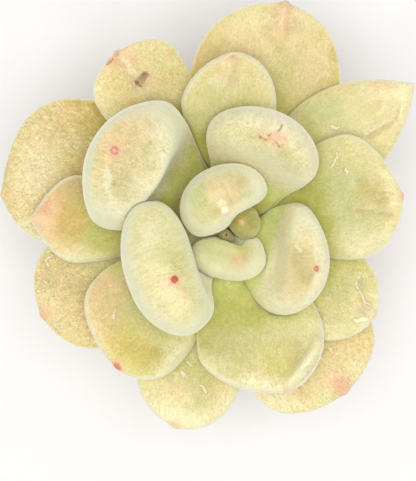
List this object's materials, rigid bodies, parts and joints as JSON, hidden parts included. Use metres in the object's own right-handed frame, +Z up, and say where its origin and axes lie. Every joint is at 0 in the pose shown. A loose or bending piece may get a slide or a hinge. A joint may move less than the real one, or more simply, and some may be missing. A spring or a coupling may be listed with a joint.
{
  "type": "potted echeveria",
  "caption": "Rosette of thick rounded pale green leaves with pink tips, on a short stem in a small plain clay pot filled with gritty soil.",
  "frame": {"origin": "middle of the pot's underside, on the pot's axis, on the surface that it stands on", "axes": "+Z up along the pot's axis; +X and +Y are the right and the top of the picture, which looks straight down on the rosette"},
  "size_m": [0.0803, 0.0827, 0.0846],
  "materials": {
    "leaf_inner": "satin",
    "leaf_middle": "satin",
    "leaf_outer": "satin",
    "stem": "matte",
    "soil": "matte",
    "pot": "matte"
  },
  "bodies": {
    "root": {"leaf_01": "leaf_inner", "leaf_02": "leaf_inner", "leaf_03": "leaf_inner", "leaf_04": "leaf_inner", "leaf_05": "leaf_inner", "leaf_06": "leaf_middle", "leaf_07": "leaf_middle", "leaf_08": "leaf_middle", "leaf_09": "leaf_middle", "leaf_10": "leaf_middle", "leaf_11": "leaf_middle", "leaf_12": "leaf_middle", "leaf_13": "leaf_middle", "leaf_14": "leaf_middle", "leaf_15": "leaf_outer", "leaf_16": "leaf_outer", "leaf_17": "leaf_outer", "leaf_18": "leaf_outer", "leaf_19": "leaf_outer", "leaf_20": "leaf_outer", "leaf_21": "leaf_outer", "leaf_22": "leaf_outer", "leaf_23": "leaf_outer", "leaf_24": "leaf_outer", "stem": "stem", "soil": "soil", "pot": "pot"}
  },
  "joints": []
}
